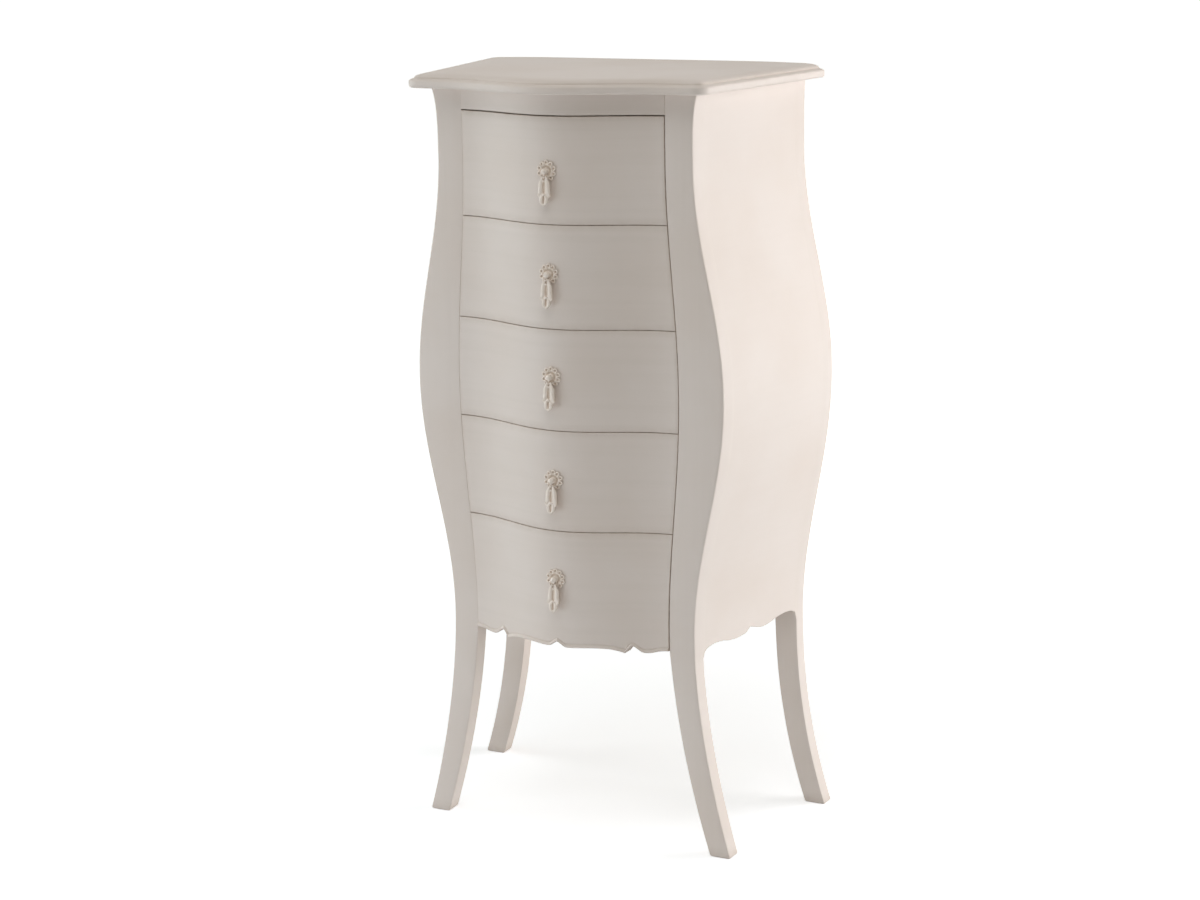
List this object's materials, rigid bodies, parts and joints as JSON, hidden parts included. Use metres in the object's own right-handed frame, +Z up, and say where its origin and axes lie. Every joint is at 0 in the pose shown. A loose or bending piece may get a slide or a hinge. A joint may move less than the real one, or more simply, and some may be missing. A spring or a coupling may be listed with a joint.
{
  "type": "chiffonier",
  "caption": "Tall bombé chiffonier with bowed drawer fronts on wooden runners, moulded top, scalloped aprons, sabre legs and swinging drop pulls on pierced rosettes.",
  "frame": {"origin": "on the floor, under the middle of the bounding box", "axes": "+X to the right as seen from the front, +Y towards the back, so the drawers face -Y, +Z up"},
  "size_m": [0.5792, 0.3536, 1.1],
  "materials": {
    "cream_paint": "satin warm off-white paint with faint brush marks",
    "bare_wood": "planed, unfinished",
    "plywood": "sanded, unfinished",
    "painted_metal": "satin cream enamel over cast metal"
  },
  "bodies": {
    "carcass": {"top_board": "cream_paint", "top_rail": "cream_paint", "back_panel": "plywood", "bottom_board": "plywood", "side_panel_left": "cream_paint", "side_panel_right": "cream_paint", "leg_front_left": "cream_paint", "leg_front_right": "cream_paint", "leg_back_left": "cream_paint", "leg_back_right": "cream_paint", "runner_1_left": "bare_wood", "runner_1_right": "bare_wood", "runner_2_left": "bare_wood", "runner_2_right": "bare_wood", "runner_3_left": "bare_wood", "runner_3_right": "bare_wood", "runner_4_left": "bare_wood", "runner_4_right": "bare_wood", "runner_5_left": "bare_wood", "runner_5_right": "bare_wood"},
    "drawer_1": {"drawer_1_front": "cream_paint", "drawer_1_side_left": "bare_wood", "drawer_1_side_right": "bare_wood", "drawer_1_back": "bare_wood", "drawer_1_bottom": "plywood", "pull_1_rosette": "painted_metal", "pull_1_post": "painted_metal"},
    "drawer_2": {"drawer_2_front": "cream_paint", "drawer_2_side_left": "bare_wood", "drawer_2_side_right": "bare_wood", "drawer_2_back": "bare_wood", "drawer_2_bottom": "plywood", "pull_2_rosette": "painted_metal", "pull_2_post": "painted_metal"},
    "drawer_3": {"drawer_3_front": "cream_paint", "drawer_3_side_left": "bare_wood", "drawer_3_side_right": "bare_wood", "drawer_3_back": "bare_wood", "drawer_3_bottom": "plywood", "pull_3_rosette": "painted_metal", "pull_3_post": "painted_metal"},
    "drawer_4": {"drawer_4_front": "cream_paint", "drawer_4_side_left": "bare_wood", "drawer_4_side_right": "bare_wood", "drawer_4_back": "bare_wood", "drawer_4_bottom": "plywood", "pull_4_rosette": "painted_metal", "pull_4_post": "painted_metal"},
    "drawer_5": {"drawer_5_front": "cream_paint", "drawer_5_side_left": "bare_wood", "drawer_5_side_right": "bare_wood", "drawer_5_back": "bare_wood", "drawer_5_bottom": "plywood", "pull_5_rosette": "painted_metal", "pull_5_post": "painted_metal"},
    "pull_1": {"pull_1_drop": "painted_metal"},
    "pull_2": {"pull_2_drop": "painted_metal"},
    "pull_3": {"pull_3_drop": "painted_metal"},
    "pull_4": {"pull_4_drop": "painted_metal"},
    "pull_5": {"pull_5_drop": "painted_metal"}
  },
  "joints": [
    {"name": "drawer_1_slide", "type": "slide", "parent": "carcass", "child": "drawer_1", "axis": [0, -1, 0], "range_m": [0, 0.17]},
    {"name": "drawer_2_slide", "type": "slide", "parent": "carcass", "child": "drawer_2", "axis": [0, -1, 0], "range_m": [0, 0.17]},
    {"name": "drawer_3_slide", "type": "slide", "parent": "carcass", "child": "drawer_3", "axis": [0, -1, 0], "range_m": [0, 0.17]},
    {"name": "drawer_4_slide", "type": "slide", "parent": "carcass", "child": "drawer_4", "axis": [0, -1, 0], "range_m": [0, 0.17]},
    {"name": "drawer_5_slide", "type": "slide", "parent": "carcass", "child": "drawer_5", "axis": [0, -1, 0], "range_m": [0, 0.17]},
    {"name": "pull_1_swing", "type": "hinge", "parent": "drawer_1", "child": "pull_1", "pos_m": [0, -0.15255, 0.9661], "axis": [-1, 0, 0], "range_deg": [-6, 110]},
    {"name": "pull_2_swing", "type": "hinge", "parent": "drawer_2", "child": "pull_2", "pos_m": [0, -0.15255, 0.8248], "axis": [-1, 0, 0], "range_deg": [-6, 110]},
    {"name": "pull_3_swing", "type": "hinge", "parent": "drawer_3", "child": "pull_3", "pos_m": [0, -0.15255, 0.6814], "axis": [-1, 0, 0], "range_deg": [-6, 110]},
    {"name": "pull_4_swing", "type": "hinge", "parent": "drawer_4", "child": "pull_4", "pos_m": [0, -0.15255, 0.5345], "axis": [-1, 0, 0], "range_deg": [-6, 110]},
    {"name": "pull_5_swing", "type": "hinge", "parent": "drawer_5", "child": "pull_5", "pos_m": [0, -0.15255, 0.3914], "axis": [-1, 0, 0], "range_deg": [-6, 110]}
  ]
}
